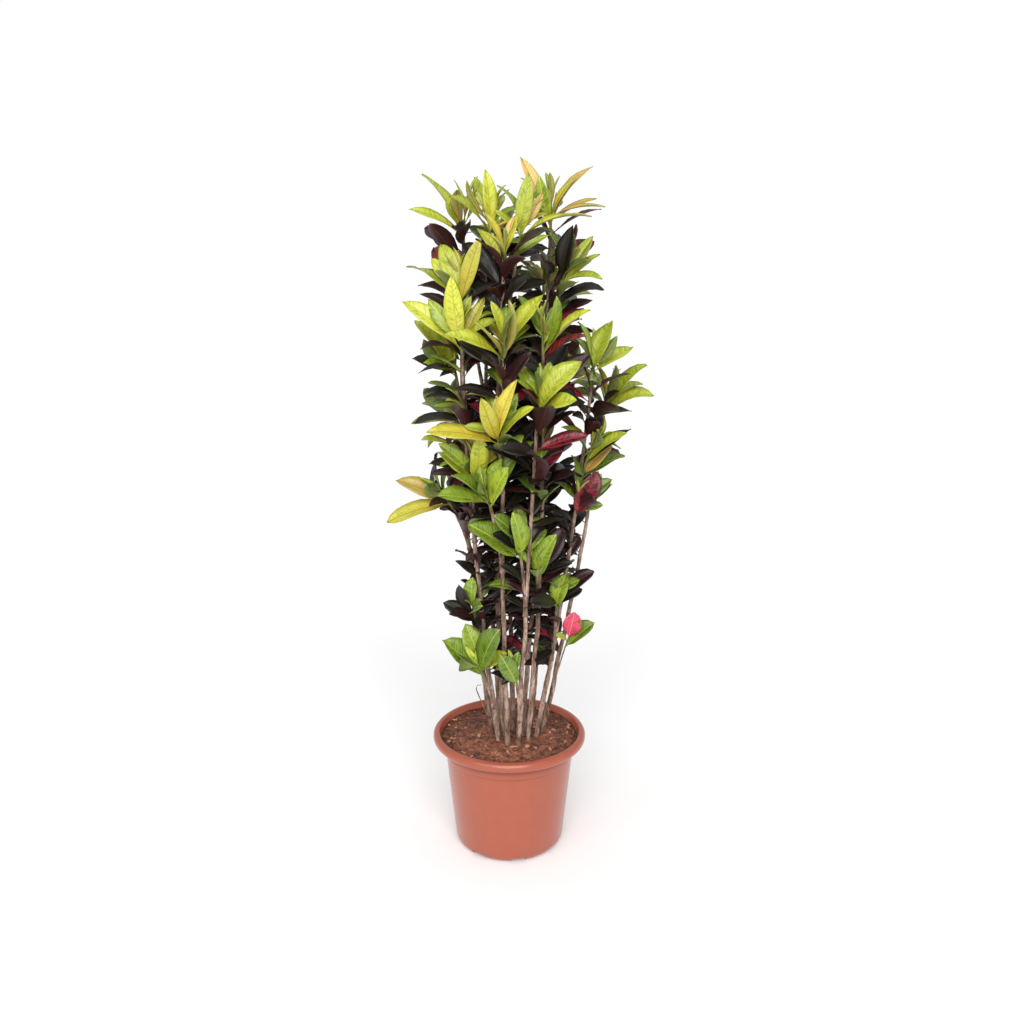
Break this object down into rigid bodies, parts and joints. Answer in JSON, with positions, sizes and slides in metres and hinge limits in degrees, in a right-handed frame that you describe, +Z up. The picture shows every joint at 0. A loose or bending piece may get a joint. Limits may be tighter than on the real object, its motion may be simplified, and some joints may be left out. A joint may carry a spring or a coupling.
{
  "type": "potted plant",
  "caption": "Tall potted croton with variegated leaves: bare woody stems rising from soil in a round nursery pot, branching into leafy shoots from knee height to crown.",
  "frame": {"origin": "centre of the pot's foot, on the surface that it stands on", "axes": "+Z up along the pot's axis, -Y towards the front that the picture shows, +X to its right"},
  "size_m": [0.7392, 0.6238, 1.9371],
  "materials": {
    "pot": "satin terracotta plastic",
    "soil": "rough damp potting mix of bark and peat",
    "bark": "matt grey-tan bark",
    "young_leaf": "glossy leathery leaf, lime mottled with green",
    "old_leaf": "glossy leathery leaf, burgundy to nearly black"
  },
  "bodies": {
    "root": {"cutting_01": "bark", "cutting_02": "bark", "cutting_03": "bark", "cutting_04": "bark", "cutting_05": "bark", "cutting_06": "bark", "cutting_07": "bark", "cutting_08": "bark", "cutting_09": "bark", "cutting_10": "bark", "cutting_11": "bark", "cutting_12": "bark", "old_shoot_back_crown": "old_leaf", "old_shoot_back_right_upper": "old_leaf", "old_shoot_centre_collar": "old_leaf", "old_shoot_crown_left": "old_leaf", "old_shoot_crown_middle": "old_leaf", "old_shoot_crown_right": "old_leaf", "old_shoot_front_high": "old_leaf", "old_shoot_front_right_high": "old_leaf", "old_shoot_front_right_middle": "old_leaf", "old_shoot_right_upper": "old_leaf", "old_shoot_shoulder_left": "old_leaf", "pot": "pot", "shoot_back_crown": "young_leaf", "shoot_back_left": "young_leaf", "shoot_back_left_upper": "young_leaf", "shoot_back_low": "young_leaf", "shoot_back_right": "young_leaf", "shoot_back_right_low": "young_leaf", "shoot_back_right_upper": "young_leaf", "shoot_back_upper": "young_leaf", "shoot_centre_collar": "young_leaf", "shoot_crown_centre": "young_leaf", "shoot_crown_left": "young_leaf", "shoot_crown_middle": "young_leaf", "shoot_crown_right": "young_leaf", "shoot_front_foot": "young_leaf", "shoot_front_high": "young_leaf", "shoot_front_left_foot": "young_leaf", "shoot_front_left_high": "young_leaf", "shoot_front_left_middle": "young_leaf", "shoot_front_low": "young_leaf", "shoot_front_middle": "young_leaf", "shoot_front_right_high": "young_leaf", "shoot_front_right_low": "young_leaf", "shoot_front_right_middle": "young_leaf", "shoot_left_foot": "young_leaf", "shoot_left_lower": "young_leaf", "shoot_left_upper": "young_leaf", "shoot_right_far": "young_leaf", "shoot_right_foot": "young_leaf", "shoot_right_low_front": "young_leaf", "shoot_right_lower": "young_leaf", "shoot_right_middle": "young_leaf", "shoot_right_twig": "young_leaf", "shoot_right_upper": "young_leaf", "shoot_shoulder_left": "young_leaf", "shoot_shoulder_right": "young_leaf", "soil": "soil"}
  },
  "joints": []
}
